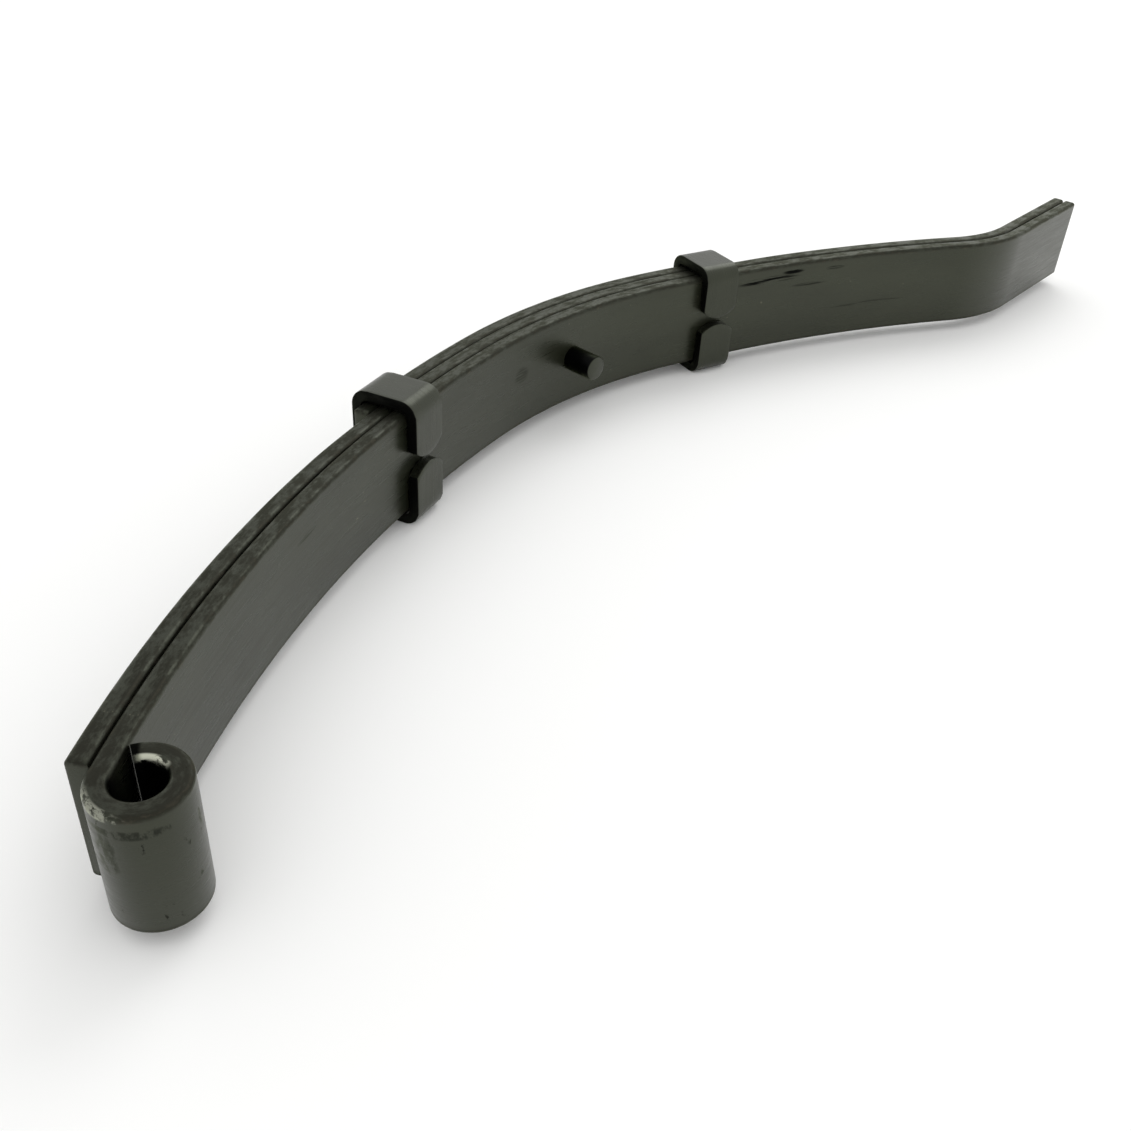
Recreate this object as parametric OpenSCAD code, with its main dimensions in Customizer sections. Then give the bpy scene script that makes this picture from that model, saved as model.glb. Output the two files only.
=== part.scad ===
// Trailer slipper leaf spring lying on its edge: three leaves, two rebound clips, centre bolt.
// X runs along the seat towards the slipper end, +Y is the convex (short leaf) side,
// +Z runs across the leaf width. The origin is on the centre bolt axis, where the bolt head
// meets the concave face of the main leaf, at mid width.
// The two full length leaves are drawn in three lengths each, so that the arms can flex.

/* [Leaves] */
// Width of every leaf
leaf_width = 50; // [40:1:65]
// Thickness of every leaf
leaf_t = 7.5; // [5:0.5:10]
// Free height between the two long leaves along the arms
arm_gap = 1.2; // [0.3:0.1:1.5]

/* [Camber] */
// Radius of the seat stretch, at the joint of the two long leaves
seat_r = 296; // [240:1:400]
// Angle that the seat stretch turns through on the eye side of the bolt
seat_eye_turn = 11.6; // [9:0.05:14]
// Angle that the seat stretch turns through on the slipper side of the bolt
seat_slip_turn = 12.85; // [10:0.05:15]
// Radius of the eye side arm
eye_arm_r = 672; // [500:1:900]
// Angle that the eye side arm turns through
eye_arm_turn = 26.7; // [20:0.1:30]
// Radius of the slipper side arm
slip_arm_r = 740; // [500:1:900]
// Angle that the slipper side arm turns through
slip_arm_turn = 16.6; // [12:0.1:20]
// Radius of the reverse bend before the slipper tail
tail_bend_r = 88; // [70:1:110]
// Angle of the reverse bend
tail_turn = 32.2; // [20:0.1:40]
// Straight length of the slipper tail
tail_len = 85; // [50:1:100]

/* [Spring eye] */
// Diameter of the eye bore
eye_bore = 16.5; // [12:0.5:22]
// Angle between the scroll end and the leaf it curls back to
scroll_open = 62; // [60:1:90]
// How far the second leaf stops short of the eye centre
second_short = 3.5; // [0:0.5:10]

/* [Third leaf] */
// Length of the third leaf from the bolt to its eye side end
third_eye_len = 148; // [144:1:152]
// Length of the third leaf from the bolt to its slipper side end
third_slip_len = 112; // [107:1:115]

/* [Rebound clips] */
// Width of the clip strap
strap_w = 22; // [16:1:26]
// Thickness of the clip strap
strap_t = 5; // [3:0.5:6]
// Inside radius of the strap bends
strap_bend = 3; // [2:0.5:5]
// Distance from the bolt to the eye side clip, along the leaves
eye_clip_at = 131.5; // [128:0.5:134]
// Distance from the bolt to the slipper side clip, along the leaves
slip_clip_at = 103; // [100:0.5:106]
// Side clearance between the strap and the leaf edges
clip_side_gap = 1.5; // [1:0.1:2.5]
// Clearance between the strap arms and the main leaf
clip_face_gap = 1; // [0.5:0.1:2]
// Height above mid width where the upper arm ends
upper_arm_end = 2.5; // [2:0.5:10]
// Height above mid width where the lower arm ends
lower_arm_end = -1.5; // [-8:0.5:1]
// Radius of the domed arm ends
arm_end_r = 14.5; // [12:0.5:30]

/* [Clip rivets] */
// Diameter of the rivet shank
rivet_d = 6; // [5:0.5:8]
// Diameter of the rivet heads
rivet_head_d = 12; // [10:0.5:14]
// Height of the rivet head
rivet_head_h = 3; // [2:0.5:4]

/* [Centre bolt] */
// Diameter of the bolt shank
bolt_d = 8; // [6:0.5:10]
// Diameter of the cylindrical locating head
head_d = 13; // [11:0.5:18]
// Height of the cylindrical locating head
head_h = 17; // [6:0.5:20]
// Width across the flats of the nut
nut_af = 13; // [11:0.5:17]
// Height of the nut
nut_h = 6.5; // [5:0.5:9]

/* [Hidden] */
$fn = 180;
// The arms part from the seat lengths just outside the clips
eye_cut_at = third_eye_len + 6;
slip_cut_at = slip_clip_at + strap_w / 2 + 7;
cut_gap = 0.4;
// Hair of overlap that welds neighbouring stretches of one leaf
weld = 0.003;
// Hair of a seam where curvature reverses; a bar inside the steel ties the two sides together
seam = 0.02;
hole_d = bolt_d + 0.2;
eye_r_in = eye_bore / 2;
eye_r_out = eye_r_in + leaf_t;
// Height of the joint line between the long leaves, and of the seat stack
seat_y = leaf_t;
stack_y = 3 * leaf_t;
seat_eye_len = seat_eye_turn * PI / 180 * seat_r;
seat_slip_len = seat_slip_turn * PI / 180 * seat_r;
eye_end_a = seat_eye_turn + eye_arm_turn;
slip_end_a = seat_slip_turn + slip_arm_turn;
eye_cut_a = seat_eye_turn + (eye_cut_at - seat_eye_len) / eye_arm_r * 180 / PI;
slip_cut_a = seat_slip_turn + (slip_cut_at - seat_slip_len) / slip_arm_r * 180 / PI;
third_eye_a = seat_eye_turn + (third_eye_len - seat_eye_len) / eye_arm_r * 180 / PI;
third_slip_a = seat_slip_turn + (third_slip_len - seat_slip_len) / slip_arm_r * 180 / PI;
eye_clip_a = seat_eye_turn + (eye_clip_at - seat_eye_len) / eye_arm_r * 180 / PI;
slip_clip_a = seat_slip_turn + (slip_clip_at - seat_slip_len) / slip_arm_r * 180 / PI;
c_seat = [0, seat_y - seat_r];
c_eye = c_seat + (seat_r - eye_arm_r) * dir(-seat_eye_turn);
c_slip = c_seat + (seat_r - slip_arm_r) * dir(seat_slip_turn);
c_tail = c_slip + (slip_arm_r + tail_bend_r) * dir(slip_end_a);
tail_a = slip_end_a - tail_turn;
tail_start = c_tail - tail_bend_r * dir(tail_a);
eye_c = c_eye + (eye_arm_r - eye_r_out) * dir(-eye_end_a);
eye_gap_a = cut_gap / eye_arm_r * 180 / PI;
slip_gap_a = cut_gap / slip_arm_r * 180 / PI;
steel_black = [0.13, 0.14, 0.12];
steel_worn = [0.22, 0.22, 0.20];

// Unit vector at an angle from +Y, turning towards +X
function dir(a) = [sin(a), cos(a)];

// A bar of the leaf width, bent round a centre between two angles from +Y
module bent_bar(c, r1, r2, a1, a2) {
  far = r2 * 1.4;
  mid = (a1 + a2) / 2;
  translate([c[0], c[1], 0])
    linear_extrude(height = leaf_width, center = true)
      intersection() {
        difference() {
          circle(r = r2, $fn = 720);
          circle(r = r1, $fn = 720);
        }
        polygon([[0, 0], far * dir(a1), far * dir(mid), far * dir(a2)]);
      }
}

// The leaf stretch between two offsets from the joint line, over the seat
module seat_bar(o1, o2, a1, a2) {
  bent_bar(c_seat, seat_r + o1, seat_r + o2, a1, a2);
}

// One leaf from its eye side cut to its slipper side cut, through the seat
module through_bar(o1, o2, eye_a, slip_a) {
  bent_bar(c_eye, eye_arm_r + o1, eye_arm_r + o2, -eye_a, -seat_eye_turn + weld);
  seat_bar(o1, o2, -seat_eye_turn, seat_slip_turn);
  bent_bar(c_slip, slip_arm_r + o1, slip_arm_r + o2, seat_slip_turn - weld, slip_a);
}

// The slipper end of a leaf: gentle arc, reverse bend and straight tail
module slipper_bar(o1, o2) {
  bent_bar(c_slip, slip_arm_r + o1, slip_arm_r + o2, slip_cut_a + slip_gap_a, slip_end_a);
  seam_a = seam / tail_bend_r * 180 / PI;
  bent_bar(c_tail, tail_bend_r - o2, tail_bend_r - o1,
    slip_end_a + 180 - seam_a, tail_a + 180 + seam_a);
  on_slip_arm(slip_end_a)
    weld_key(o1, o2);
  translate([tail_start[0], tail_start[1], 0])
    rotate([0, 0, -tail_a]) {
      translate([0, o1, -leaf_width / 2])
        cube([tail_len, o2 - o1, leaf_width]);
      weld_key(o1, o2);
    }
}

// Small bar inside the steel that ties two neighbouring stretches together
module weld_key(o1, o2) {
  translate([-1, o1 + 1, 2 - leaf_width / 2])
    cube([2, o2 - o1 - 2, leaf_width - 4]);
}

// Places its child on the joint line, at an angle along the eye side or the slipper side
module on_eye_arm(a) {
  p = c_eye + eye_arm_r * dir(-a);
  translate([p[0], p[1], 0])
    rotate([0, 0, a])
      children();
}

module on_slip_arm(a) {
  p = c_slip + slip_arm_r * dir(a);
  translate([p[0], p[1], 0])
    rotate([0, 0, -a])
      children();
}

// Round hole or pin along Y, between two offsets
module y_rod(d, y1, y2) {
  translate([0, y1, 0])
    rotate([-90, 0, 0])
      cylinder(d = d, h = y2 - y1, $fn = 96);
}

module main_leaf_seat() {
  color(steel_black)
    difference() {
      through_bar(-leaf_t, 0, eye_cut_a, slip_cut_a);
      y_rod(hole_d, -5, seat_y + 5);
    }
}

module main_leaf_eye_arm() {
  color(steel_black) {
    bent_bar(c_eye, eye_arm_r - leaf_t, eye_arm_r, -eye_end_a - weld / 2, -eye_cut_a - eye_gap_a);
    // The scroll turns away from the leaf end and comes back to its concave face
    translate([eye_c[0], eye_c[1], 0])
      linear_extrude(height = leaf_width, center = true)
        difference() {
          circle(r = eye_r_out, $fn = 180);
          circle(r = eye_r_in, $fn = 180);
          polygon(concat([[0, 0]], [for (k = [0 : 4]) 3 * eye_r_out
            * dir(-eye_end_a + scroll_open * k / 4)]));
        }
  }
}

module main_leaf_slipper_arm() {
  color(steel_black)
    slipper_bar(-leaf_t, 0);
}

module second_leaf_seat() {
  color(steel_black)
    difference() {
      through_bar(0, leaf_t, eye_cut_a, slip_cut_a);
      y_rod(hole_d, seat_y - 5, seat_y + leaf_t + 5);
    }
}

module second_leaf_eye_arm() {
  short_a = second_short / eye_arm_r * 180 / PI;
  color(steel_black)
    bent_bar(c_eye, eye_arm_r + arm_gap, eye_arm_r + leaf_t + arm_gap,
      -eye_end_a + short_a, -eye_cut_a - eye_gap_a);
}

module second_leaf_slipper_arm() {
  color(steel_black)
    slipper_bar(arm_gap, leaf_t + arm_gap);
}

module third_leaf() {
  color(steel_black)
    difference() {
      through_bar(leaf_t, 2 * leaf_t, third_eye_a, third_slip_a);
      y_rod(hole_d, seat_y - 5, seat_y + 2 * leaf_t + 5);
      on_eye_arm(eye_clip_a)
        rivet_hole();
      on_slip_arm(slip_clip_a)
        rivet_hole();
    }
}

// Stepped hole in the third leaf that hides the closed end of a rivet
module rivet_hole() {
  y_rod(rivet_d, 0, 30);
  y_rod(rivet_d + 3, 0, leaf_t + 2.5);
}

// Flat strap bent round the stack; y is measured from the joint line
module strap() {
  y_in = 2 * leaf_t;
  y_out = y_in + strap_t;
  y_face = -leaf_t - clip_face_gap;
  y_front = y_face - strap_t;
  z_in = leaf_width / 2 + clip_side_gap;
  z_out = z_in + strap_t;
  r_out = strap_bend + strap_t;
  difference() {
    // Outer and inner outlines of the closed loop, with bent corners
    rotate([0, 90, 0])
      linear_extrude(height = strap_w, center = true)
        difference() {
          round_box(z_out, y_front, y_out, r_out);
          round_box(z_in, y_face, y_in, strap_bend);
        }
    // Window between the two arm ends, domed at both edges
    translate([0, y_front - 1, 0])
      rotate([-90, 0, 0])
        linear_extrude(height = strap_t + 2)
          difference() {
            translate([-strap_w, -upper_arm_end - 20])
              square([2 * strap_w, upper_arm_end - lower_arm_end + 40]);
            translate([0, -upper_arm_end - arm_end_r])
              circle(r = arm_end_r, $fn = 120);
            translate([-strap_w, -upper_arm_end - 60 - arm_end_r])
              square([2 * strap_w, 60]);
            translate([0, -lower_arm_end + arm_end_r])
              circle(r = arm_end_r, $fn = 120);
            translate([-strap_w, -lower_arm_end + arm_end_r])
              square([2 * strap_w, 60]);
          }
    y_rod(rivet_d, y_in - 1, y_out + 1);
  }
}

// Rectangle z high both ways and from y1 to y2, with round corners
module round_box(z, y1, y2, r) {
  difference() {
    translate([-z, y1])
      square([2 * z, y2 - y1]);
    for (sz = [-1, 1])
      for (ys = [[y1, 1], [y2, -1]])
        difference() {
          translate([sz * (z - r / 2) - r / 2 - (sz < 0 ? 0.5 : -0), ys[0] - (ys[1] > 0 ? 0.5 : r)])
            square([r + 0.5, r + 0.5]);
          translate([sz * (z - r), ys[0] + ys[1] * r])
            circle(r = r, $fn = 96);
        }
  }
}

module eye_side_clip() {
  color(steel_worn)
    on_eye_arm(eye_clip_a)
      strap();
}

module slipper_side_clip() {
  color(steel_worn)
    on_slip_arm(slip_clip_a)
      strap();
}

// Rivet: outer head on the strap, shank, and a closed end sunk in the third leaf
module rivet() {
  y_rod(rivet_head_d, 2 * leaf_t + strap_t, 2 * leaf_t + strap_t + rivet_head_h);
  y_rod(rivet_d, leaf_t + 0.2, 2 * leaf_t + strap_t + 0.5);
  y_rod(rivet_d + 3, leaf_t + 0.2, leaf_t + 2.5);
}

module eye_side_clip_rivet() {
  color(steel_worn)
    on_eye_arm(eye_clip_a)
      rivet();
}

module slipper_side_clip_rivet() {
  color(steel_worn)
    on_slip_arm(slip_clip_a)
      rivet();
}

module centre_bolt() {
  color(steel_worn) {
    y_rod(head_d, -head_h, 0);
    y_rod(bolt_d, -1, stack_y + nut_h + 3);
  }
}

module centre_bolt_nut() {
  color(steel_worn)
    difference() {
      translate([0, stack_y, 0])
        rotate([-90, 0, 0])
          cylinder(d = nut_af / cos(30), h = nut_h, $fn = 6);
      y_rod(bolt_d, stack_y - 1, stack_y + nut_h + 1);
    }
}

main_leaf_seat();
main_leaf_eye_arm();
main_leaf_slipper_arm();
second_leaf_seat();
second_leaf_eye_arm();
second_leaf_slipper_arm();
third_leaf();
eye_side_clip();
slipper_side_clip();
eye_side_clip_rivet();
slipper_side_clip_rivet();
centre_bolt();
centre_bolt_nut();
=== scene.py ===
# %% [markdown]
# # A slipper leaf spring, lying on its edge
# A slipper spring carries one end of a trailer axle. Two long leaves lie together from end to end.
# The main leaf is rolled into an eye at one end. At the other end both leaves bend into a straight
# tail, the slipper, which slides in a hanger. A short third leaf stiffens the middle.
# Two bent straps keep the leaves together on the rebound, and a centre bolt clamps the pile.
# Lengths below are in millimetres, because that is how a spring maker writes them. They are turned
# into metres only when a mesh is made. X runs along the seat, +Y is the convex side, +Z the width.

# %% Load the frame
import math

import bmesh
import bpy
import numpy as np
from mathutils import Matrix, Vector


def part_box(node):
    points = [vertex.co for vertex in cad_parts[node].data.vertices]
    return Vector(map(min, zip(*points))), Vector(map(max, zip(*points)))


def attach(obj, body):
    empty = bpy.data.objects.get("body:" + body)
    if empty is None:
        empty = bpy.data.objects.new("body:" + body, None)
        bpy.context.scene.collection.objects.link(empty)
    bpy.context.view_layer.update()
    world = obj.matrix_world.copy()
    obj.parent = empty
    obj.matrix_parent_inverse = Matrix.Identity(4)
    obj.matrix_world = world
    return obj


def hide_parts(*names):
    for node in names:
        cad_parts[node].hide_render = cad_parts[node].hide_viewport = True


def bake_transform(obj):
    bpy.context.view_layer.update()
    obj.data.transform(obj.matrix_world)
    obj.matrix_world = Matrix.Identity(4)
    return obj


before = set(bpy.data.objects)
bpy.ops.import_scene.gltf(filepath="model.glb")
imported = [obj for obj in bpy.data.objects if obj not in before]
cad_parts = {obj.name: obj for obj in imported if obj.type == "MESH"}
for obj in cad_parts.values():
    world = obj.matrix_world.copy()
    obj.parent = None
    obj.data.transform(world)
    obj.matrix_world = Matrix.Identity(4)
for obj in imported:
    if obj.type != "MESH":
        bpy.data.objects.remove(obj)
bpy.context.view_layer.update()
MM = 0.001

# %% [markdown]
# ## The joint line
# Every leaf follows one line, the joint between the two long leaves. It is made of circular arcs,
# as a spring shop sets the camber over a former: a tight arc over the axle seat, a gentle arc for
# each arm, a short reverse bend, and a straight tail. Writing the line once and placing every leaf
# at a distance from it keeps the pile nested, which drawing each leaf by hand would not.

# %% Sizes of the spring
WIDTH, THICK = 50.0, 7.5
SEAT_R, SEAT_EYE, SEAT_SLIP = 296.0, 11.6, 12.85
EYE_ARM_R, EYE_ARM_TURN = 672.0, 26.7
SLIP_ARM_R, SLIP_ARM_TURN = 740.0, 16.6
TAIL_R, TAIL_TURN, TAIL_LEN = 88.0, 32.2, 85.0
BORE_R, SCROLL_OPEN, SECOND_SHORT = 8.25, 62.0, 3.5
THIRD_EYE, THIRD_SLIP = 148.0, 112.0
STRAP_W, STRAP_T, STRAP_BEND = 22.0, 5.0, 3.0
EYE_CLIP, SLIP_CLIP, SIDE_GAP, FACE_GAP = 131.5, 103.0, 1.5, 1.0
UPPER_END, LOWER_END, DOME_R = 2.5, -1.5, 14.5
SEAT_Y = THICK

# %% The joint line as a function of the distance from the bolt
def out(deg):
    a = math.radians(deg)
    return np.array([math.sin(a), math.cos(a)])


seat_eye_len = math.radians(SEAT_EYE) * SEAT_R
seat_slip_len = math.radians(SEAT_SLIP) * SEAT_R
slip_arm_len = math.radians(SLIP_ARM_TURN) * SLIP_ARM_R
tail_arc_len = math.radians(TAIL_TURN) * TAIL_R
eye_end = SEAT_EYE + EYE_ARM_TURN
slip_end = SEAT_SLIP + SLIP_ARM_TURN
c_seat = np.array([0, SEAT_Y - SEAT_R])
c_eye = c_seat + (SEAT_R - EYE_ARM_R) * out(-SEAT_EYE)
c_slip = c_seat + (SEAT_R - SLIP_ARM_R) * out(SEAT_SLIP)
c_tail = c_slip + (SLIP_ARM_R + TAIL_R) * out(slip_end)
tail_turned = slip_end - TAIL_TURN
tail_start = c_tail - TAIL_R * out(tail_turned)
eye_centre = c_eye + (EYE_ARM_R - BORE_R - THICK) * out(-eye_end)
EYE_LEN = seat_eye_len + math.radians(EYE_ARM_TURN) * EYE_ARM_R
TAIL_AT = seat_slip_len + slip_arm_len + tail_arc_len
SLIP_LEN = TAIL_AT + TAIL_LEN


def joint_line(u):
    """Point on the joint line and its convex normal, u mm from the bolt, + towards the slipper."""
    if u < -seat_eye_len:
        n = out(-(SEAT_EYE + math.degrees((-u - seat_eye_len) / EYE_ARM_R)))
        return c_eye + EYE_ARM_R * n, n
    if u <= seat_slip_len:
        n = out(math.degrees(u / SEAT_R))
        return c_seat + SEAT_R * n, n
    if u <= seat_slip_len + slip_arm_len:
        n = out(SEAT_SLIP + math.degrees((u - seat_slip_len) / SLIP_ARM_R))
        return c_slip + SLIP_ARM_R * n, n
    if u <= TAIL_AT:
        n = out(slip_end - math.degrees((u - seat_slip_len - slip_arm_len) / TAIL_R))
        return c_tail - TAIL_R * n, n
    n = out(tail_turned)
    return tail_start + (u - TAIL_AT) * np.array([n[1], -n[0]]), n


print("eye side", round(EYE_LEN, 1), "mm, slipper side", round(SLIP_LEN, 1), "mm")

# %% [markdown]
# ## Paths for the leaves
# A leaf is rolled bar of one section, so its whole shape is a path. The main leaf's path starts at
# the tip of the scroll, goes round the eye, and then runs on just inside the joint line.
# Each long leaf is made in two lengths that meet under the slipper side strap, where the seam is hidden.

# %% Path points, with the distance along the bar kept beside them
def spaced(a, b, step):
    return np.linspace(a, b, max(2, int(abs(b - a) / step) + 1))


def path_beside(a, b, offset, step=2.5):
    """Path at offset(u) mm from the joint line: rows of x, y and distance along."""
    rows = []
    for u in spaced(a, b, step):
        p, n = joint_line(u)
        q = p + offset(u) * n
        rows.append((q[0], q[1], u))
    return rows


SEEN_GAP = 0.5  # the rolled edges make the joint look wider than it is
SCROLL_SHUT = 2.9  # degrees more of scroll, so that its tip all but touches the leaf


def gap_at(u):
    """The second leaf lies tight over the seat and stands off along the arms."""
    reach = -u - 150 if u < 0 else u - 116
    k = min(1, max(0, reach / 40))
    return SEEN_GAP * k * k * (3 - 2 * k)


main_offset = lambda u: -THICK / 2
second_offset = lambda u: THICK / 2 + gap_at(u)
third_offset = lambda u: THICK * 1.5
mid_r = BORE_R + THICK / 2
scroll = []
scroll_turn = 360 - SCROLL_OPEN + SCROLL_SHUT
SCROLL_LEN = math.radians(scroll_turn) * mid_r
for a in np.linspace(-scroll_turn, -4, 76):
    p = eye_centre + mid_r * out(-eye_end + a)
    scroll.append((p[0], p[1], -EYE_LEN + math.radians(a) * mid_r))
main_eye_path = scroll + path_beside(-EYE_LEN, SLIP_CLIP, main_offset)
main_slip_path = path_beside(SLIP_CLIP, SLIP_LEN, main_offset)
second_eye_path = path_beside(SECOND_SHORT - EYE_LEN, SLIP_CLIP, second_offset)
second_slip_path = path_beside(SLIP_CLIP, SLIP_LEN, second_offset)
third_path = path_beside(-THIRD_EYE, THIRD_SLIP, third_offset)
print("main leaf path points", len(main_eye_path) + len(main_slip_path))

# %% [markdown]
# ## Rolled bar, swept along a path
# Spring bar leaves the mill with rounded edges, which catch the light as thin bright lines. The
# section could be extruded face by face. Geometry Nodes do it as a rule: a rounded rectangle
# swept along the path with Curve to Mesh. The tree also stores `bar_place`, where each point
# lies on the straight bar: along, across and through, so that mill marks follow the bends.

# %% The rolled bar tree
bar_tree = bpy.data.node_groups.new("rolled_bar", "GeometryNodeTree")
sock = bar_tree.interface.new_socket
sock("Path", in_out="INPUT", socket_type="NodeSocketGeometry")
for label, value in (("Width", 0.05), ("Thickness", 0.0075), ("Edge radius", 0.0018)):
    sock(label, in_out="INPUT", socket_type="NodeSocketFloat").default_value = value
sock("Finish", in_out="INPUT", socket_type="NodeSocketMaterial")
sock("Bar", in_out="OUTPUT", socket_type="NodeSocketGeometry")


def add(tree, kind, **settings):
    node = tree.nodes.new(kind)
    for key, value in settings.items():
        setattr(node, key, value)
    return node


g_in, g_out = add(bar_tree, "NodeGroupInput"), add(bar_tree, "NodeGroupOutput")
to_curve = add(bar_tree, "GeometryNodeMeshToCurve")
upright = add(bar_tree, "GeometryNodeSetCurveNormal", mode="Z_UP")
along = add(bar_tree, "GeometryNodeInputNamedAttribute", data_type="FLOAT")
along.inputs["Name"].default_value = "along"
keep_along = add(bar_tree, "GeometryNodeCaptureAttribute", domain="POINT")
keep_along.capture_items.new("FLOAT", "along")
section = add(bar_tree, "GeometryNodeCurvePrimitiveQuadrilateral", mode="RECTANGLE")
rounding = add(bar_tree, "GeometryNodeFilletCurve", mode="POLY")
rounding.inputs["Count"].default_value = 5
where = add(bar_tree, "GeometryNodeInputPosition")
keep_section = add(bar_tree, "GeometryNodeCaptureAttribute", domain="POINT")
keep_section.capture_items.new("VECTOR", "section")
sweep = add(bar_tree, "GeometryNodeCurveToMesh")
sweep.inputs["Fill Caps"].default_value = True
split_xy = add(bar_tree, "ShaderNodeSeparateXYZ")
join_xyz = add(bar_tree, "ShaderNodeCombineXYZ")
store = add(bar_tree, "GeometryNodeStoreNamedAttribute", data_type="FLOAT_VECTOR", domain="POINT")
store.inputs["Name"].default_value = "bar_place"
real = add(bar_tree, "GeometryNodeRealizeInstances")
paint = add(bar_tree, "GeometryNodeSetMaterial")

# %% Wiring of the rolled bar tree
wire = bar_tree.links.new
wire(g_in.outputs["Path"], to_curve.inputs[0])
wire(to_curve.outputs[0], upright.inputs["Curve"])
wire(upright.outputs[0], keep_along.inputs[0])
wire(along.outputs["Attribute"], keep_along.inputs[1])
wire(g_in.outputs["Thickness"], section.inputs["Width"])
wire(g_in.outputs["Width"], section.inputs["Height"])
wire(section.outputs[0], rounding.inputs["Curve"])
wire(g_in.outputs["Edge radius"], rounding.inputs["Radius"])
wire(rounding.outputs[0], keep_section.inputs[0])
wire(where.outputs[0], keep_section.inputs[1])
wire(keep_along.outputs[0], sweep.inputs["Curve"])
wire(keep_section.outputs[0], sweep.inputs["Profile Curve"])
wire(keep_section.outputs[1], split_xy.inputs[0])
wire(keep_along.outputs[1], join_xyz.inputs["X"])
wire(split_xy.outputs["Y"], join_xyz.inputs["Y"])
wire(split_xy.outputs["X"], join_xyz.inputs["Z"])
wire(sweep.outputs[0], store.inputs["Geometry"])
wire(join_xyz.outputs[0], store.inputs["Value"])
wire(store.outputs[0], real.inputs[0])
wire(real.outputs[0], paint.inputs["Geometry"])
wire(g_in.outputs["Finish"], paint.inputs["Material"])
wire(paint.outputs[0], g_out.inputs[0])
print("rolled bar tree", len(bar_tree.nodes), "nodes")

# %% Helpers that turn a tree or a bmesh into a finished piece
def finish_mesh(name, mesh, material, sharp=38):
    """A plain object at the origin with outward faces, smooth except at its sharp corners."""
    bm = bmesh.new()
    bm.from_mesh(mesh)
    bmesh.ops.remove_doubles(bm, verts=bm.verts, dist=1e-7)
    bmesh.ops.recalc_face_normals(bm, faces=bm.faces)
    for f in bm.faces:
        f.smooth = True
    holes = sum(1 for e in bm.edges if not e.is_manifold)
    bm.to_mesh(mesh)
    bm.free()
    mesh.set_sharp_from_angle(angle=math.radians(sharp))
    mesh.materials.clear()
    mesh.materials.append(material)
    obj = bpy.data.objects.new(name, mesh)
    bpy.context.scene.collection.objects.link(obj)
    print(name, len(mesh.polygons), "faces, open edges", holes)
    return obj


def run_tree(tree, source, inputs):
    """Evaluates a tree on a source mesh object and returns the plain mesh."""
    holder = bpy.data.objects.new("holder", source)
    bpy.context.scene.collection.objects.link(holder)
    modifier = holder.modifiers.new("tree", "NODES")
    modifier.node_group = tree
    for item in tree.interface.items_tree:
        if item.item_type == "SOCKET" and item.in_out == "INPUT" and item.name in inputs:
            modifier[item.identifier] = inputs[item.name]
    bpy.context.view_layer.update()
    graph = bpy.context.evaluated_depsgraph_get()
    mesh = bpy.data.meshes.new_from_object(holder.evaluated_get(graph))
    holder.modifiers.remove(modifier)
    bpy.data.objects.remove(holder)
    return mesh


def rolled_bar(name, path, finish, width=WIDTH, thick=THICK, edge=1.8):
    source = bpy.data.meshes.new(name + "_path")
    source.from_pydata([(x * MM, y * MM, 0) for x, y, _ in path],
                       [(i, i + 1) for i in range(len(path) - 1)], [])
    store_u = source.attributes.new("along", "FLOAT", "POINT")
    store_u.data.foreach_set("value", [u * MM for _, _, u in path])
    mesh = run_tree(bar_tree, source, {"Width": width * MM, "Thickness": thick * MM,
                                       "Edge radius": edge * MM, "Finish": finish})
    mesh.name = name
    return mesh


def drill(mesh, centre, axis, radius, depth):
    """Cuts a round hole through a mesh, as the shop drills the leaf for its bolt."""
    bm = bmesh.new()
    turn = Vector((0, 0, 1)).rotation_difference(Vector(axis)).to_matrix().to_4x4()
    bmesh.ops.create_cone(bm, cap_ends=True, segments=48, radius1=radius * MM, radius2=radius * MM,
                          depth=depth * MM, matrix=Matrix.Translation(Vector(centre) * MM) @ turn)
    tool_mesh = bpy.data.meshes.new("drill")
    bm.to_mesh(tool_mesh)
    bm.free()
    tool = bpy.data.objects.new("drill", tool_mesh)
    work = bpy.data.objects.new("work", mesh)
    for o in (tool, work):
        bpy.context.scene.collection.objects.link(o)
    cut = work.modifiers.new("cut", "BOOLEAN")
    cut.operation, cut.solver, cut.object = "DIFFERENCE", "EXACT", tool
    bpy.context.view_layer.update()
    graph = bpy.context.evaluated_depsgraph_get()
    result = bpy.data.meshes.new_from_object(work.evaluated_get(graph))
    bpy.data.objects.remove(work)
    bpy.data.objects.remove(tool)
    return result


def break_end(mesh, u_end, size=0.6):
    """Takes the sharp corner off the sheared end of a bar at one distance along it."""
    bm = bmesh.new()
    bm.from_mesh(mesh)
    layer = bm.verts.layers.float_vector["bar_place"]
    caps = [f for f in bm.faces if len(f.verts) > 8
            and all(abs(v[layer].x - u_end * MM) < 2e-4 for v in f.verts)]
    edges = {e for f in caps for e in f.edges}
    bmesh.ops.bevel(bm, geom=list(edges), offset=size * MM, segments=2, profile=0.5,
                    affect="EDGES", clamp_overlap=True)
    bm.to_mesh(mesh)
    bm.free()
    return mesh

# %% [markdown]
# ## Black paint over mill scale
# The leaves are dipped or sprayed thin black over hot rolled bar. It is never one colour: the flat
# faces are an even olive black with fine rolling lines, the rounded edges are brown and rough where
# scale shows through, and the corners are rubbed bright. Some of the black is painted shade: on the
# side faces of the straps, partly along the leaf edges, in the bore of the eye and on the scroll tip.
# Bare steel at the eye rim is partly wear and partly a painted highlight. A picture of steel would
# slide and repeat, so the finish is made of noise that reads `bar_place`, stretched along the bar.

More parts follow.
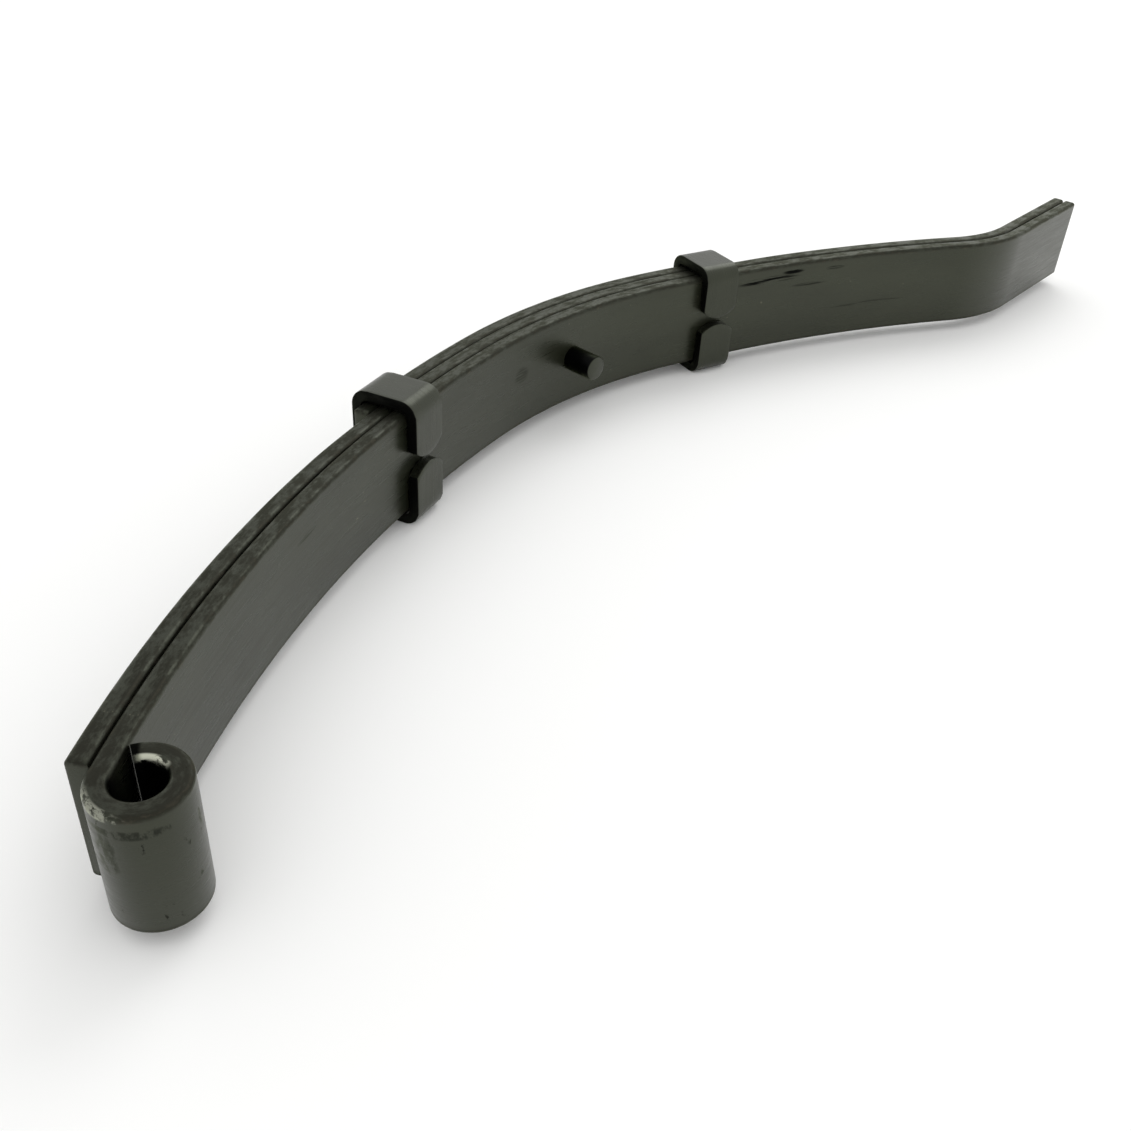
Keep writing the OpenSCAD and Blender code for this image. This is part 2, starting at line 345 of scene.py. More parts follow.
# %% The paint as nodes
def rgb(r, g, b):
    """Linear colour from the 0 to 255 values a paint chart gives."""
    return tuple(((c / 255 + 0.055) / 1.055) ** 2.4 for c in (r, g, b)) + (1.0,)


# Black oxide colour, used for real dark marks and for painted shade.
BLACK_OXIDE_AND_SHADE = (0.003, 0.003, 0.0035, 1)
BARE_STEEL_GLINT = (0.50, 0.51, 0.42, 1)


class Finish:
    """A small helper that adds nodes to one material and wires them in order."""

    def __init__(self, name):
        self.mat = bpy.data.materials.new(name)
        self.mat.use_nodes = True
        self.tree = self.mat.node_tree
        self.shader = self.tree.nodes["Principled BSDF"]

    def node(self, kind, settings=None, **links):
        n = self.tree.nodes.new(kind)
        for key, value in (settings or {}).items():
            if hasattr(n, key):
                setattr(n, key, value)
            else:
                n.inputs[key].default_value = value
        for key, source in links.items():
            self.tree.links.new(source, n.inputs[int(key[1:])])
        return n

    def place(self):
        """Where a point lies on the straight bar: along, across, through."""
        return self.node("ShaderNodeAttribute", {"attribute_name": "bar_place"}).outputs["Vector"]

    def scaled(self, vector, scale):
        n = self.node("ShaderNodeMapping", {"Scale": scale}, i0=vector)
        return n.outputs[0]

    def noise(self, vector, scale, detail=4, rough=0.6):
        n = self.node("ShaderNodeTexNoise", {"Scale": scale, "Detail": detail, "Roughness": rough},
                      i0=vector)
        return n.outputs["Fac"]

    def ramp(self, value, a, b, low=0.0, high=1.0):
        n = self.node("ShaderNodeMapRange", {"interpolation_type": "SMOOTHSTEP"}, i0=value)
        for i, v in zip((1, 2, 3, 4), (a, b, low, high)):
            n.inputs[i].default_value = v
        return n.outputs[0]

    def math(self, operation, a, b):
        n = self.node("ShaderNodeMath", {"operation": operation})
        for i, v in enumerate((a, b)):
            if isinstance(v, (int, float)):
                n.inputs[i].default_value = v
            else:
                self.tree.links.new(v, n.inputs[i])
        return n.outputs[0]

    def mix(self, amount, a, b):
        n = self.node("ShaderNodeMix", {"data_type": "RGBA"})
        self.tree.links.new(amount, n.inputs["Factor"])
        for key, v in ((6, a), (7, b)):
            if isinstance(v, tuple):
                n.inputs[key].default_value = v
            else:
                self.tree.links.new(v, n.inputs[key])
        return n.outputs[2]

    def done(self, colour, rough, height, strength, distance, oxide_shade_and_bare=None):
        link = self.tree.links.new
        if oxide_shade_and_bare is not None:
            link(oxide_shade_and_bare, self.shader.inputs["Metallic"])
        link(colour, self.shader.inputs["Base Color"])
        link(rough, self.shader.inputs["Roughness"])
        bump = self.node("ShaderNodeBump", {"Strength": strength, "Distance": distance})
        link(height, bump.inputs["Height"])
        link(bump.outputs[0], self.shader.inputs["Normal"])
        self.shader.inputs["IOR"].default_value = 1.5
        self.shader.inputs["Specular Tint"].default_value = (0.94, 1.0, 0.78, 1)
        print(self.mat.name, len(self.tree.nodes), "nodes")
        return self.mat


def scuff(f, parts, noise, at, up, length, height, strength=1.0):
    """A ragged patch at one place on the bar; sizes in mm."""
    a = f.math("DIVIDE", f.math("SUBTRACT", parts[0], at * MM), length / 2 * MM)
    b = f.math("DIVIDE", f.math("ADD", parts[1], up * MM), height / 2 * MM)
    far = f.math("ADD", f.math("MULTIPLY", a, a), f.math("MULTIPLY", b, b))
    near = f.ramp(far, 1.25, 0.25)
    return f.math("MULTIPLY", f.math("MULTIPLY", near, f.ramp(noise, 0.44, 0.56)), strength)


def bar_paint(name, half_width, half_thick, face, edge, worn, streaks=1.0, scuffs=(), eye=False,
              side_shade=0.6, band=(3.0, 0.6), even=0.35):
    """Painted rolled bar: even faces, scaly edges, rubbed corners, a few scuffs and chips, black at the edges
    that is partly scale and partly painted shade, painted shade in the bore and on the scroll tip, and bare
    steel at the eye rim that is partly wear and partly painted highlight.
    """
    f = Finish(name)
    place = f.place()
    parts = f.node("ShaderNodeSeparateXYZ", i0=place).outputs
    across = f.math("ABSOLUTE", parts[1], 0.0)
    lines = f.noise(f.scaled(place, (40, 900, 900)), 1.0, 5, 0.65)
    cloud = f.noise(f.scaled(place, (14, 45, 45)), 1.0, 3, 0.55)
    grit = f.noise(f.scaled(place, (900, 1100, 1100)), 1.0, 6, 0.7)
    scale = f.noise(f.scaled(place, (130, 300, 300)), 1.0, 6, 0.72)
    speck = f.noise(f.scaled(place, (420, 420, 420)), 1.0, 2, 0.5)
    on_edge = f.ramp(across, half_width - band[0] * MM, half_width - band[1] * MM)
    through = f.math("ABSOLUTE", parts[2], 0.0)
    on_face = f.ramp(through, half_thick - 0.0020, half_thick - 0.0004)
    corner = f.math("MULTIPLY", on_edge, on_face)
    scaly = f.math("MULTIPLY", on_edge, f.ramp(scale, 0.42, 0.62))
    rubbed = f.math("MULTIPLY", corner, f.ramp(scale, 0.50, 0.72))
    chips = f.math("MULTIPLY", f.ramp(speck, 0.745, 0.785), f.ramp(cloud, 0.45, 0.66))
    dark = tuple(c * 0.6 for c in face[:3]) + (1.0,)
    colour = f.mix(f.ramp(cloud, 0.30, 0.72), dark, face)
    colour = f.mix(f.math("MULTIPLY", f.ramp(lines, 0.45, 0.75), 0.30 * streaks), colour, edge)
    colour = f.mix(scaly, colour, edge)
    colour = f.mix(f.math("MULTIPLY", f.math("MAXIMUM", rubbed, chips), 0.6), colour, worn)
    rough = f.math("ADD", f.ramp(lines, 0.3, 0.8, 0.26, 0.40), f.math("MULTIPLY", scaly, 0.16))
    # Black along the edges: on the leaves it is partly dark scale and partly painted shade that dims the
    # rolled edges; at a strong weight, as on the straps, it is painted shade over the side faces.
    oxide_shade_and_bare = f.math("MULTIPLY", f.math("MULTIPLY", on_edge, side_shade), f.ramp(scale, 0.38, 0.58, even, 1.0))
    for spot in scuffs:
        oxide_shade_and_bare = f.math("MAXIMUM", oxide_shade_and_bare, scuff(f, parts, lines, *spot))
    if eye:
        rolled = f.ramp(parts[0], (6 - EYE_LEN) * MM, (-4 - EYE_LEN) * MM)
        drag = f.noise(f.scaled(place, (330, 110, 700)), 1.0, 6, 0.72)
        torn = f.math("MULTIPLY", f.math("MULTIPLY", rolled, f.ramp(drag, 0.625, 0.685)), 0.8)
        for spot in EYE_MARKS:
            torn = f.math("MAXIMUM", torn, scuff(f, parts, drag, *spot))
        # Painted shade: the bore face of the eye is painted black, as if in shadow.
        bore_shade = f.math("MULTIPLY", rolled, f.ramp(parts[2], 0.0022, 0.0034))
        # Painted shade: the sheared end of the scroll is painted black and made rough, so it stays dark in
        # the bore instead of catching light.
        tip_at = -EYE_LEN - SCROLL_LEN
        tip = f.ramp(parts[0], (tip_at + 4.0) * MM, (tip_at + 1.5) * MM)
        oxide_shade_and_bare = f.math("MAXIMUM", oxide_shade_and_bare, f.math("MAXIMUM", torn, f.math("MAXIMUM", bore_shade, tip)))
        rough = f.math("ADD", rough, f.math("MULTIPLY", tip, 0.45))
    # The black oxide colour goes on real dark marks and on the painted shade above.
    colour = f.mix(oxide_shade_and_bare, colour, BLACK_OXIDE_AND_SHADE)
    rough = f.math("ADD", rough, f.math("MULTIPLY", oxide_shade_and_bare, 0.2))
    # Bare steel on the eye's rim: rubbed wear, placed where highlights show on the far inner rim and the near
    # outer rim, so it is partly a painted highlight.
    if eye:
        inner = f.ramp(parts[2], 0.0016, 0.0026)
        outer = f.ramp(parts[2], -0.0014, -0.0024)
        bare_glint = f.math("MULTIPLY", scuff(f, parts, scale, -EYE_LEN - 55, 24.2, 17, 4.4), inner)
        rim_glint = f.math("MULTIPLY", scuff(f, parts, drag, -EYE_LEN - 11, 23.8, 18, 3.6), outer)
        bare_glint = f.math("MAXIMUM", bare_glint, f.math("MULTIPLY", rim_glint, 0.45))
        oxide_shade_and_bare = f.math("MAXIMUM", oxide_shade_and_bare, bare_glint)
        colour = f.mix(bare_glint, colour, BARE_STEEL_GLINT)
        rough = f.math("SUBTRACT", rough, f.math("MULTIPLY", bare_glint, 0.12))
    height = f.math("ADD", f.math("MULTIPLY", lines, 0.25), f.math("MULTIPLY", grit, 0.35))
    height = f.math("ADD", height, f.math("MULTIPLY", f.math("MULTIPLY", scale, on_edge), 1.8))
    return f.done(colour, rough, height, 0.55, 0.00016, oxide_shade_and_bare)


# Scuffs on the flats and round the eye: place along, place above mid width, length, height, strength
MARKS = [(140, 17, 46, 4.5), (158, 20, 16, 3.0), (170, 11, 26, 2.0, 0.6), (-42, 4, 12, 9, 0.4),
         (188, 19, 14, 2.5, 0.7), (214, -6, 60, 2.5, 0.4), (-225, 12, 16, 2.5, 0.4)]
EYE_MARKS = [(-EYE_LEN - 39, 13, 3, 13, 0.7), (-EYE_LEN - 46, -8, 5, 24, 0.7),
             (-EYE_LEN - 20, 18, 24, 4, 0.6), (-EYE_LEN - 14, 8, 7, 20, 0.5)]
leaf_paint = bar_paint("leaf_paint", WIDTH / 2 * MM, THICK / 2 * MM, rgb(31, 33, 24),
                       rgb(37, 33, 25), rgb(112, 106, 90), 1.0, MARKS, True)
# On the straps the edge colour is darker and the edge black is nearly full, so the side faces of each strap
# come out nearly black: painted shade where the strap stands off the leaves.
clip_paint = bar_paint("clip_paint", STRAP_W / 2 * MM, STRAP_T / 2 * MM,
                       rgb(31, 33, 24), rgb(22, 21, 16), rgb(84, 80, 66), 0.4, side_shade=0.96,
                       band=(0.45, 0.12), even=0.95)

# %% [markdown]
# ## The leaves
# Main leaf, second leaf and third leaf come off the same tree with different paths. The sheared
# ends get a small broken corner, except at the tip of the scroll, which nothing can reach.
# The bolt hole goes right through all three, as it does in the shop, where the pile is drilled
# before it is clamped.

# %% Main leaf, in two lengths
SEAT, EYE_BODY, SLIP_BODY = "seat_pack", "eye_arm", "slipper_arm"


def bolt_hole(mesh):
    """An 8.2 mm hole through the whole pile, on the bolt's axis."""
    return drill(mesh, (0, 10, 0), (0, 1, 0), 4.1, 60)


def flex(piece):
    """Bakes the piece's placement into its mesh."""
    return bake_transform(piece)


mesh = rolled_bar("main_leaf_eye_side", main_eye_path, leaf_paint)
main_eye = finish_mesh("main_leaf_eye_side", bolt_hole(mesh), leaf_paint)
flex(main_eye)
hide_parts("main_leaf_seat", "main_leaf_eye_arm")
mesh = rolled_bar("main_leaf_slipper_side", main_slip_path, leaf_paint)
break_end(mesh, SLIP_LEN)
main_slip = finish_mesh("main_leaf_slipper_side", mesh, leaf_paint)
flex(main_slip)
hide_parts("main_leaf_slipper_arm")

# %% Second leaf, in two lengths
mesh = rolled_bar("second_leaf_eye_side", second_eye_path, leaf_paint)
break_end(mesh, SECOND_SHORT - EYE_LEN)
second_eye = finish_mesh("second_leaf_eye_side", bolt_hole(mesh), leaf_paint)
flex(second_eye)
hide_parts("second_leaf_seat", "second_leaf_eye_arm")
mesh = rolled_bar("second_leaf_slipper_side", second_slip_path, leaf_paint)
break_end(mesh, SLIP_LEN)
second_slip = finish_mesh("second_leaf_slipper_side", mesh, leaf_paint)
flex(second_slip)
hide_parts("second_leaf_slipper_arm")

# %% Third leaf
mesh = rolled_bar("third_leaf_bar", third_path, leaf_paint)
for end in (-THIRD_EYE, THIRD_SLIP):
    break_end(mesh, end)
mesh = bolt_hole(mesh)
for u in (-EYE_CLIP, SLIP_CLIP):  # a 6 mm rivet hole, with a 9 mm recess for the closed end
    p, n = joint_line(u)
    for height, radius, depth in ((THICK * 2, 3.0, 20), (THICK + 1.0, 4.5, 3.0)):
        q = p + n * height
        mesh = drill(mesh, (q[0], q[1], 0), (n[0], n[1], 0), radius, depth)
third = finish_mesh("third_leaf_bar", mesh, leaf_paint)
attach(third, SEAT)
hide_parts("third_leaf")

# %% [markdown]
# ## Rebound straps
# Each strap is one flat strip bent four times round the pile. Its two domed ends face each other
# over the main leaf. A box with a slot cut in it would look like a casting. Here the strip is
# laid along its bent path station by station. Each line across the strip starts and stops a
# little later or earlier, which gives the domed ends without any cutting.

# %% The strip's bent path, seen along the leaf
def strap_path():
    """Distance, place in (y, z) and outward direction along the middle of the bent strip."""
    half = STRAP_T / 2
    r = STRAP_BEND + half
    y0, y1 = -THICK - FACE_GAP - half, 2 * THICK + half
    z = WIDTH / 2 + SIDE_GAP + half
    legs = [("line", (y0, UPPER_END), (y0, z - r)), ("arc", (y0 + r, z - r), 180, 90),
            ("line", (y0 + r, z), (y1 - r, z)), ("arc", (y1 - r, z - r), 90, 0),
            ("line", (y1, z - r), (y1, -z + r)), ("arc", (y1 - r, -z + r), 0, -90),
            ("line", (y1 - r, -z), (y0 + r, -z)), ("arc", (y0 + r, -z + r), -90, -180),
            ("line", (y0, -z + r), (y0, LOWER_END))]
    return legs, r


strap_legs, bend_r = strap_path()
leg_lens = [math.dist(l[1], l[2]) if l[0] == "line" else math.radians(90) * bend_r
            for l in strap_legs]
STRIP_LEN = sum(leg_lens)


def on_strip(s):
    for leg, length in zip(strap_legs, leg_lens):
        if s <= length or leg is strap_legs[-1]:
            break
        s -= length
    if leg[0] == "line":
        a, b = np.array(leg[1]), np.array(leg[2])
        t = (b - a) / length
        return a + t * s, np.array([-t[1], t[0]])
    ang = math.radians(leg[2] + (leg[3] - leg[2]) * s / length)
    n = np.array([math.cos(ang), math.sin(ang)])
    return np.array(leg[1]) + bend_r * n, n


print("strip before bending", round(STRIP_LEN, 1), "mm long")

# %% Laying the strip
def rounded_section(w, t, r, count=4):
    """Closed outline (across, through) of the strip, with more points across for the domes."""
    pts = []
    for cx, cy, a0 in ((w - r, t - r, 0), (r - w, t - r, 90), (r - w, r - t, 180), (w - r, r - t, 270)):
        for k in range(count + 1):
            a = math.radians(a0 + 90 * k / count)
            pts.append((cx + r * math.cos(a), cy + r * math.sin(a)))
        if a0 in (0, 180):
            side = 1 if a0 == 0 else -1
            pts += [(side * x, side * t) for x in np.linspace(w - r, r - w, 15)[1:-1]]
    return pts


def strip_stations():
    marks, s = [0.0], 0.0
    for leg, length in zip(strap_legs, leg_lens):
        n = 12 if leg[0] == "arc" else max(2, int(length / 2.5))
        marks += [s + length * k / n for k in range(1, n + 1)]
        s += length
    return marks


# Rounding of the strip's ends: how far in from the end, and how much the outline shrinks there
END_ROUND = ((0.0, 0.6), (0.144, 0.25), (0.6, 0.06))
SECTION_R, HOLE_R = 0.5, 3.0


def bent_strap(name, at):
    p, n = joint_line(at)
    t = np.array([n[1], -n[0]])
    half_t = STRAP_T / 2
    outline = rounded_section(STRAP_W / 2, half_t, SECTION_R)
    bm = bmesh.new()
    layer = bm.verts.layers.float_vector.new("bar_place")
    marks = strip_stations()
    rings = list(END_ROUND) + [(s, 0) for s in marks[1:-1]]
    rings += [(STRIP_LEN - inset, shrink) for inset, shrink in reversed(END_ROUND)]
    grid = []
    for s, shrink in rings:
        ring = []
        for x, y in outline:
            xs = x * (1 - shrink / (STRAP_W / 2))
            ys = y * (1 - shrink / half_t)
            dome = DOME_R - math.sqrt(DOME_R ** 2 - xs * xs)
            span = STRIP_LEN - 2 * dome
            place, normal = on_strip(dome + span * s / STRIP_LEN)
            yz = place + normal * ys
            q = p + n * yz[0] + t * xs
            v = bm.verts.new((q[0] * MM, q[1] * MM, yz[1] * MM))
            v[layer] = Vector((s, x, y)) * MM + Vector((at * MM * 3, 0, 0))
            ring.append(v)
        grid.append(ring)
    m = len(outline)
    for a, b in zip(grid, grid[1:]):
        for i in range(m):
            bm.faces.new((a[i], a[(i + 1) % m], b[(i + 1) % m], b[i]))
    for ring in (grid[0], grid[-1]):
        bm.faces.new(ring)
    bmesh.ops.recalc_face_normals(bm, faces=bm.faces)
    mesh = bpy.data.meshes.new(name)
    bm.to_mesh(mesh)
    bm.free()
    q = p + n * (THICK * 2 + half_t)
    mesh = drill(mesh, (q[0], q[1], 0), (n[0], n[1], 0), HOLE_R, 9)
    strap = finish_mesh(name, mesh, clip_paint)
    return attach(strap, SEAT)


eye_strap = bent_strap("eye_side_clip_strap", -EYE_CLIP)
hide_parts("eye_side_clip")
slip_strap = bent_strap("slipper_side_clip_strap", SLIP_CLIP)
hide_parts("slipper_side_clip")

# %% [markdown]
# ## Strap rivets
# A domed rivet holds each strap to the third leaf, and its inner end is closed flush inside the
# leaf. The two are alike, so one outline is turned once and placed twice with Geometry Nodes.

# %% Turned outlines
def turned_mesh(name, outline, segments=48):
    """Turns (radius, height) points round Z into a closed solid."""
    bm = bmesh.new()
    layer = bm.verts.layers.float_vector.new("bar_place")
    rings = []
    for r, h in outline:
        if r < 1e-6:
            v = bm.verts.new((0, 0, h * MM))
            v[layer] = (h * MM, 0, 0)
            rings.append([v])
            continue
        ring = []
        for k in range(segments):
            a = 2 * math.pi * k / segments
            v = bm.verts.new((r * math.cos(a) * MM, r * math.sin(a) * MM, h * MM))
            v[layer] = (h * MM, r * math.cos(a) * MM, r * math.sin(a) * MM)
            ring.append(v)
        rings.append(ring)
    for a, b in zip(rings, rings[1:]):
        for k in range(segments):
            j = (k + 1) % segments
            corners = [a[k % len(a)], a[j % len(a)], b[j % len(b)], b[k % len(b)]]
            bm.faces.new(list(dict.fromkeys(corners)))
    mesh = bpy.data.meshes.new(name)
    bm.to_mesh(mesh)
    bm.free()
    return mesh


rivet_top = 2 * THICK + STRAP_T
dome = [(6.0 * math.cos(math.radians(a)), rivet_top + 0.4 + 2.6 * math.sin(math.radians(a)))
        for a in range(0, 90, 9)]
rivet_outline = [(0, THICK + 0.2), (4.4, THICK + 0.2), (4.5, THICK + 0.3), (4.5, THICK + 2.5),
                 (3.0, THICK + 2.5), (3.0, rivet_top), (5.8, rivet_top), (6.0, rivet_top + 0.2)]
rivet_outline += dome + [(0, rivet_top + 3.0)]
print("rivet outline", len(rivet_outline), "points")

# %% The rivet tree: one rivet on every marked place
rivet_tree = bpy.data.node_groups.new("rivets_on_marks", "GeometryNodeTree")
sock = rivet_tree.interface.new_socket
sock("Marks", in_out="INPUT", socket_type="NodeSocketGeometry")
sock("Rivet", in_out="INPUT", socket_type="NodeSocketObject")
sock("Scale", in_out="INPUT", socket_type="NodeSocketFloat").default_value = 1.0
sock("Finish", in_out="INPUT", socket_type="NodeSocketMaterial")
sock("Rivets", in_out="OUTPUT", socket_type="NodeSocketGeometry")
g_in, g_out = add(rivet_tree, "NodeGroupInput"), add(rivet_tree, "NodeGroupOutput")
pick = add(rivet_tree, "GeometryNodeObjectInfo")
turn = add(rivet_tree, "GeometryNodeInputNamedAttribute", data_type="FLOAT_VECTOR")
turn.inputs["Name"].default_value = "axis"
align = add(rivet_tree, "FunctionNodeAlignRotationToVector", axis="Z")
put = add(rivet_tree, "GeometryNodeInstanceOnPoints")
real = add(rivet_tree, "GeometryNodeRealizeInstances")
paint = add(rivet_tree, "GeometryNodeSetMaterial")
wire = rivet_tree.links.new
wire(g_in.outputs["Marks"], put.inputs["Points"])
wire(g_in.outputs["Rivet"], pick.inputs["Object"])
wire(pick.outputs["Geometry"], put.inputs["Instance"])
wire(turn.outputs["Attribute"], align.inputs["Vector"])
wire(align.outputs[0], put.inputs["Rotation"])
wire(g_in.outputs["Scale"], put.inputs["Scale"])
wire(put.outputs[0], real.inputs[0])
wire(real.outputs[0], paint.inputs["Geometry"])
wire(g_in.outputs["Finish"], paint.inputs["Material"])
wire(paint.outputs[0], g_out.inputs[0])

# %% Placing the rivets
marks_mesh = bpy.data.meshes.new("rivet_marks")
spots = [joint_line(u) for u in (-EYE_CLIP, SLIP_CLIP)]
marks_mesh.from_pydata([(p[0] * MM, p[1] * MM, 0) for p, n in spots], [], [])
axes = marks_mesh.attributes.new("axis", "FLOAT_VECTOR", "POINT")
axes.data.foreach_set("vector", [c for p, n in spots for c in (n[0], n[1], 0.0)])
one = bpy.data.objects.new("one_rivet", turned_mesh("one_rivet", rivet_outline))
bpy.context.scene.collection.objects.link(one)
mesh = run_tree(rivet_tree, marks_mesh, {"Rivet": one, "Scale": 1.0, "Finish": clip_paint})
bpy.data.objects.remove(one)
rivets = finish_mesh("clip_rivets", mesh, clip_paint)
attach(rivets, SEAT)
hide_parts("eye_side_clip_rivet", "slipper_side_clip_rivet")

# %% [markdown]
# ## Centre bolt and nut
# The bolt has a long round head that drops into a hole in the axle pad. It is turned, so it is
# made as an outline turned round its axis. Shallow grooves at the far end stand for the thread.
# The nut starts as the same kind of rings, but each point is pulled out to the hexagon, and the
# corners are cut back by the 30 degree chamfer that every machined nut has.

# %% Bolt paint: thinner and smoother than on the leaves, with painted shade on the side faces of the head and nut
def turned_paint(name, face, worn):
    f = Finish(name)
    place = f.place()
    parts = f.node("ShaderNodeSeparateXYZ", i0=place).outputs
    rings = f.noise(f.scaled(place, (2600, 120, 120)), 1.0, 3, 0.5)
    cloud = f.noise(f.scaled(place, (160, 160, 160)), 1.0, 4, 0.6)
    grit = f.noise(f.scaled(place, (1400, 1400, 1400)), 1.0, 4, 0.6)
    dark = tuple(c * 0.6 for c in face[:3]) + (1.0,)
    colour = f.mix(f.ramp(cloud, 0.35, 0.65), dark, face)
    colour = f.mix(f.math("MULTIPLY", f.ramp(grit, 0.66, 0.76), 0.5), colour, worn)
    rough = f.ramp(rings, 0.3, 0.8, 0.30, 0.48)
    out_y, out_z = f.math("MULTIPLY", parts[1], parts[1]), f.math("MULTIPLY", parts[2], parts[2])
    # Painted shade: the round side of the head and the side faces of the nut are painted nearly black, while
    # the end faces keep the paint tone.
    side = f.ramp(f.math("SQRT", f.math("ADD", out_y, out_z), 0.0), 0.0060, 0.0063)
    side = f.math("MULTIPLY", side, f.ramp(grit, 0.20, 0.40, 0.8, 0.96))
    colour = f.mix(side, colour, BLACK_OXIDE_AND_SHADE)
    height = f.math("ADD", f.math("MULTIPLY", rings, 0.5), f.math("MULTIPLY", grit, 0.4))
    return f.done(colour, rough, height, 0.35, 0.0001, side)


bolt_paint = turned_paint("bolt_paint", rgb(30, 32, 24), rgb(84, 80, 66))

# %% Turning the bolt and cutting the nut
HEAD_R, HEAD_H, SHANK_R, NUT_AF, NUT_H = 6.5, 17.0, 4.0, 13.0, 6.5
stack_top = 3 * THICK
tip = stack_top + NUT_H + 3
bolt_outline = [(0, -HEAD_H), (HEAD_R - 0.9, -HEAD_H), (HEAD_R - 0.5, -HEAD_H + 0.15),
                (HEAD_R - 0.15, -HEAD_H + 0.5), (HEAD_R, -HEAD_H + 0.9), (HEAD_R, -8.0),
                (HEAD_R, -0.02), (SHANK_R, -0.02)]
for k in range(14):
    y = stack_top - 6 + k * 1.1
    bolt_outline += [(SHANK_R, y), (SHANK_R, y + 0.15), (SHANK_R - 0.45, y + 0.55), (SHANK_R, y + 0.95)]
bolt_outline += [(SHANK_R, tip - 0.8), (SHANK_R - 0.7, tip), (0, tip)]
to_y = Matrix.Rotation(math.radians(-90), 4, "X")
mesh = turned_mesh("centre_bolt_turned", bolt_outline, 64)
mesh.transform(to_y)
bolt = finish_mesh("centre_bolt_turned", mesh, bolt_paint)
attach(bolt, SEAT)
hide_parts("centre_bolt")


def nut_mesh(name):
    """Hexagon rings with chamfered corners, closed through a plain bore."""
    bm = bmesh.new()
    layer = bm.verts.layers.float_vector.new("bar_place")
    flat, bore = NUT_AF / 2, SHANK_R + 0.02
    face_r = flat * 0.985
    lift = lambda r: max(0.0, (r - face_r) * math.tan(math.radians(30)))
    rings = []
    for kind in ("bore0", "low0", "low", "high", "high0", "bore1"):
        ring = []
        for k in range(96):
            a = 2 * math.pi * k / 96
            hexr = flat / math.cos(a % (math.pi / 3) - math.pi / 6)
            r = {"bore0": bore, "bore1": bore, "low0": face_r, "high0": face_r}.get(kind, hexr)
            low = kind in ("bore0", "low0", "low")
            h = 0.02 + lift(r) if low else NUT_H - lift(r)
            v = bm.verts.new((r * math.cos(a) * MM, r * math.sin(a) * MM, (stack_top + h) * MM))
            v[layer] = (h * MM, r * math.cos(a) * MM, r * math.sin(a) * MM)
            ring.append(v)
        rings.append(ring)
    for a, b in zip(rings, rings[1:] + rings[:1]):
        for k in range(96):
            bm.faces.new((a[k], a[(k + 1) % 96], b[(k + 1) % 96], b[k]))
    mesh = bpy.data.meshes.new(name)
    bm.to_mesh(mesh)
    bm.free()
    return mesh


mesh = nut_mesh("centre_bolt_hex_nut")
mesh.transform(to_y)
nut = finish_mesh("centre_bolt_hex_nut", mesh, bolt_paint, 24)
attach(nut, SEAT)
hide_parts("centre_bolt_nut")

# %% Sizes against the frame
place = np.array([v.vector for v in main_eye.data.attributes["bar_place"].data])
co = np.array([v.co for v in main_eye.data.vertices])
seat = abs(place[:, 0]) < 0.02
print("through is", np.round(place[seat & (co[:, 1] < 0.0005), 2].mean() * 1000, 2), "mm on the concave face")
for piece, node in ((third, "third_leaf"), (eye_strap, "eye_side_clip"), (bolt, "centre_bolt"),
                    (nut, "centre_bolt_nut"), (main_slip, "main_leaf_slipper_arm")):
    co = np.array([v.co for v in piece.data.vertices])
    lo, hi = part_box(node)
    print(piece.name, np.round((co.min(0) - np.array(lo)) * 1000, 2),
          np.round((co.max(0) - np.array(hi)) * 1000, 2), "mm off its node")

# %% [markdown]
# ## Floor, light and camera
# Black gloss paint shows its room more than its colour. A lamp that faces the bars from behind
# would glare on their upper edges. A white room with one large soft lamp, high beyond the slipper
# end, gives the even olive sheen on the eye side and leaves the slipper arm darker.

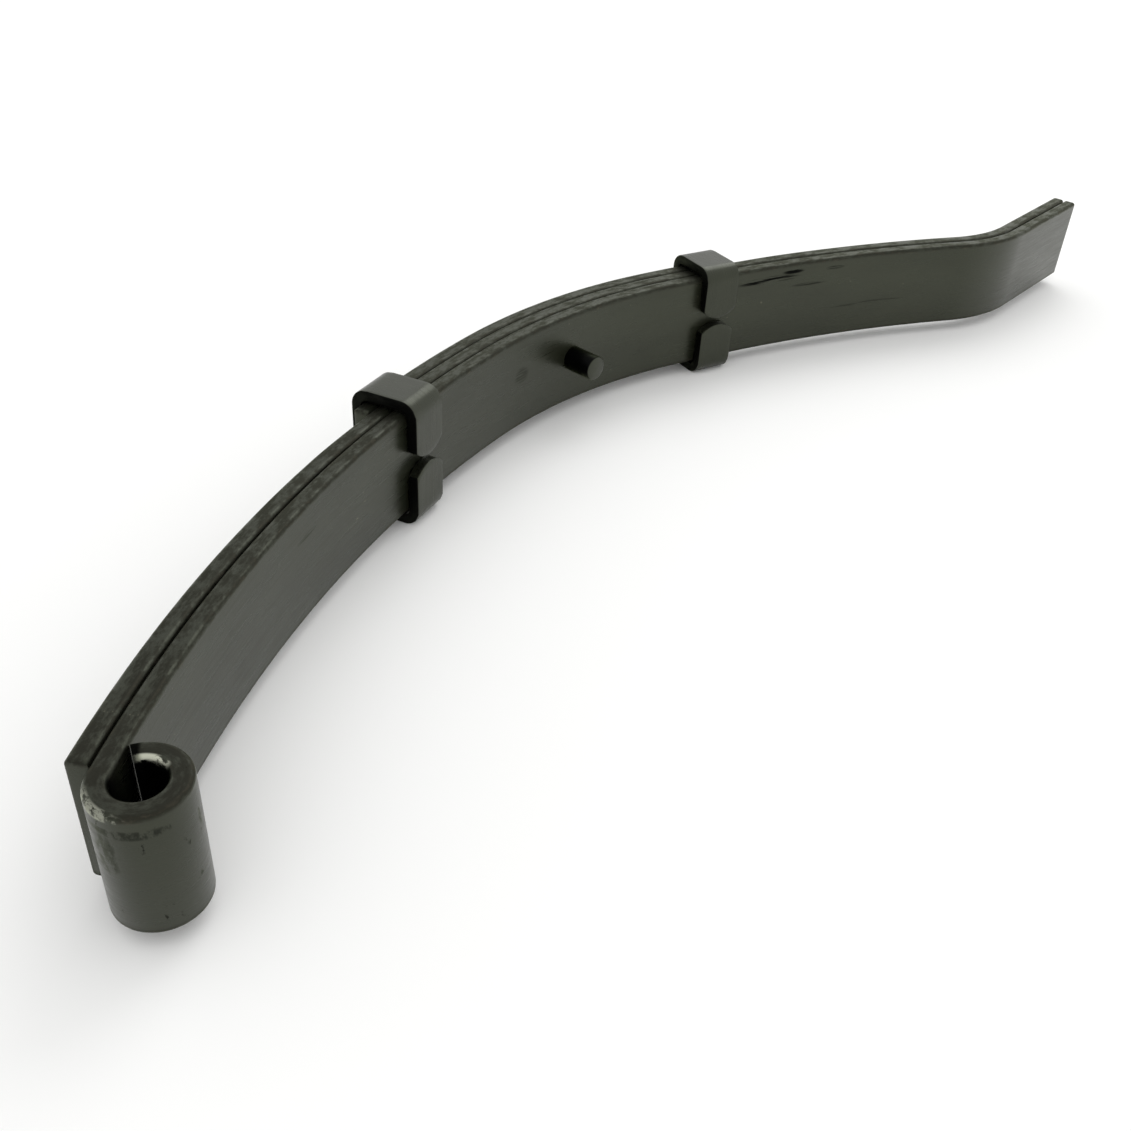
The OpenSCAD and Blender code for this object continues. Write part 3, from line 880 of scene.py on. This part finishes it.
# %% The floor
floor_mesh = bpy.data.meshes.new("floor")
low = -(WIDTH / 2 + SIDE_GAP + STRAP_T) * MM
floor_mesh.from_pydata([(-6, -6, low), (6, -6, low), (6, 6, low), (-6, 6, low)], [], [(0, 1, 2, 3)])
floor = bpy.data.objects.new("floor", floor_mesh)
bpy.context.scene.collection.objects.link(floor)
pale = bpy.data.materials.new("pale_floor")
pale.use_nodes = True
pale.node_tree.nodes["Principled BSDF"].inputs["Base Color"].default_value = (0.95, 0.95, 0.94, 1)
pale.node_tree.nodes["Principled BSDF"].inputs["Roughness"].default_value = 0.9
floor_mesh.materials.append(pale)

# %% The room and the lamps
world = bpy.data.worlds.new("white_room")
bpy.context.scene.world = world
world.use_nodes = True
world.node_tree.nodes["Background"].inputs["Color"].default_value = (1, 1, 1, 1)
world.node_tree.nodes["Background"].inputs["Strength"].default_value = 1.0


def lamp(name, place, aim, size, power):
    data = bpy.data.lights.new(name, "AREA")
    data.shape, data.size, data.energy = "DISK", size, power
    obj = bpy.data.objects.new(name, data)
    obj.location = place
    obj.rotation_euler = (Vector(aim) - Vector(place)).to_track_quat("-Z", "Y").to_euler()
    bpy.context.scene.collection.objects.link(obj)


lamp("soft_side", (1.3, 0.45, 1.5), (0, 0, 0), 1.3, 8)

# %% The camera
YAW, PITCH, ROLL = math.radians(48.62), math.radians(35.83), math.radians(3.80)
FOCAL, SHIFT_RIGHT, SHIFT_DOWN, FRAME_W = 1193.3, 3.6, 8.2, 1131.0
ahead = Vector((math.sin(YAW) * math.cos(PITCH), math.cos(YAW) * math.cos(PITCH), -math.sin(PITCH)))
right = Vector((math.cos(YAW), -math.sin(YAW), 0))
up = right.cross(ahead)
right, up = (math.cos(ROLL) * right + math.sin(ROLL) * up, math.cos(ROLL) * up - math.sin(ROLL) * right)
camera_data = bpy.data.cameras.new("view")
camera = bpy.data.objects.new("view", camera_data)
camera.matrix_world = Matrix((right, up, -ahead)).transposed().to_4x4()
camera.location = (-0.43011, -0.38665, 0.27691)
camera_data.sensor_width = 36.0
camera_data.lens = FOCAL / FRAME_W * 36.0
camera_data.shift_x = -SHIFT_RIGHT / FRAME_W
camera_data.shift_y = SHIFT_DOWN / FRAME_W
camera_data.clip_start = 0.01
bpy.context.scene.collection.objects.link(camera)
bpy.context.scene.camera = camera
bpy.context.scene.view_settings.view_transform = "Standard"
